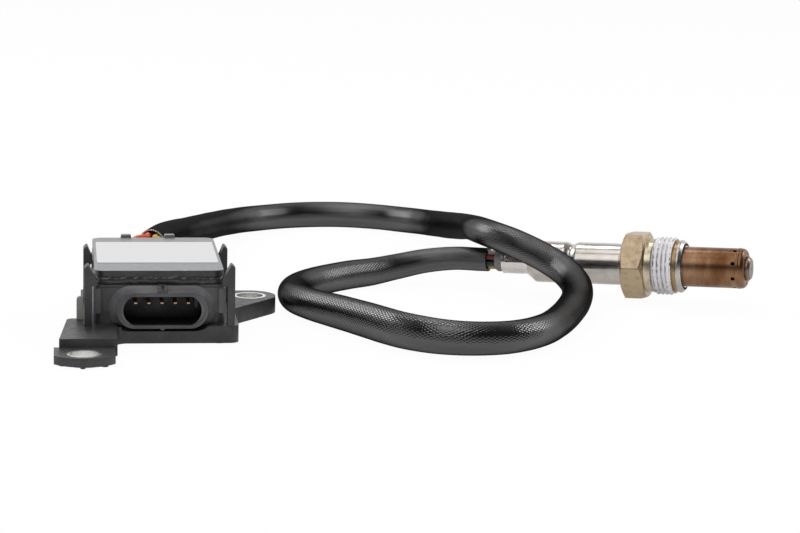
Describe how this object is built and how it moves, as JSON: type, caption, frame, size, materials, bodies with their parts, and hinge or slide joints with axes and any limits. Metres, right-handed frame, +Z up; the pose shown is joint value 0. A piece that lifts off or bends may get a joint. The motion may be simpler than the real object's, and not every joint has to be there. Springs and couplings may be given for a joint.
{
  "type": "nitrogen oxide sensor",
  "caption": "Automotive nitrogen oxide sensor: control box in a clip bracket, braided wiring loop and a threaded exhaust probe with a captive hexagon screw",
  "frame": {"origin": "on the axis of the front fixing hole, at the surface that the bracket stands on", "axes": "+Z up out of that surface, +Y from the front hole towards the back of the box, +X to the right seen from the connector"},
  "size_m": [0.2388, 0.2605, 0.0253],
  "materials": {
    "bracket_plastic": "moulded, fine satin",
    "bushing_steel": "zinc plated, turned",
    "box_plastic": "moulded, satin",
    "lid_aluminium": "die cast, blasted",
    "label_paper": "satin film",
    "sealant": "glossy, cured",
    "contact_brass": "plated, smooth",
    "board_resin": "solder resist",
    "chip_plastic": "moulded",
    "capacitor_can": "drawn can",
    "seal_rubber": "matt",
    "insulation_orange": "extruded",
    "insulation_yellow": "extruded",
    "insulation_black": "extruded",
    "insulation_white": "extruded",
    "insulation_red": "extruded",
    "insulation_teal": "extruded",
    "braid_black": "lacquered braid, glossy",
    "probe_steel": "drawn and turned, smooth",
    "ring_steel": "turned, bright",
    "screw_steel": "warm tinted, machined",
    "tube_steel": "heat tinted, drawn",
    "inner_steel": "heat tinted",
    "sensor_ceramic": "fired, matt",
    "packed_powder": "pressed powder"
  },
  "bodies": {
    "sensor": {"bracket": "bracket_plastic", "front_bushing": "bushing_steel", "rear_bushing": "bushing_steel", "housing": "box_plastic", "lid": "lid_aluminium", "label": "label_paper", "sealant_bead": "sealant", "pin_1": "contact_brass", "pin_2": "contact_brass", "pin_3": "contact_brass", "pin_4": "contact_brass", "pin_5": "contact_brass", "circuit_board": "board_resin", "microcontroller": "chip_plastic", "heater_driver": "chip_plastic", "capacitors": "capacitor_can", "wire_seal": "seal_rubber", "wire_orange": "insulation_orange", "wire_yellow": "insulation_yellow", "wire_black": "insulation_black", "wire_white": "insulation_white", "wire_red": "insulation_red", "wire_teal": "insulation_teal", "sleeve": "braid_black", "wire_grommet": "seal_rubber", "crimp_sleeve": "probe_steel", "body_shell": "probe_steel", "end_ring": "ring_steel", "sensor_housing": "probe_steel", "outer_tube": "tube_steel", "inner_tube": "inner_steel", "sensing_element": "sensor_ceramic", "contact_block": "sensor_ceramic", "rear_ceramic": "sensor_ceramic", "packing_ring": "packed_powder", "front_ceramic": "sensor_ceramic"},
    "screw": {"captive_screw": "screw_steel"}
  },
  "joints": [
    {"name": "screw_turn", "type": "hinge", "parent": "sensor", "child": "screw", "pos_m": [0.1923, 0.0965, 0.0126], "axis": [0.89, -0.4535, 0.0471], "continuous": true}
  ]
}
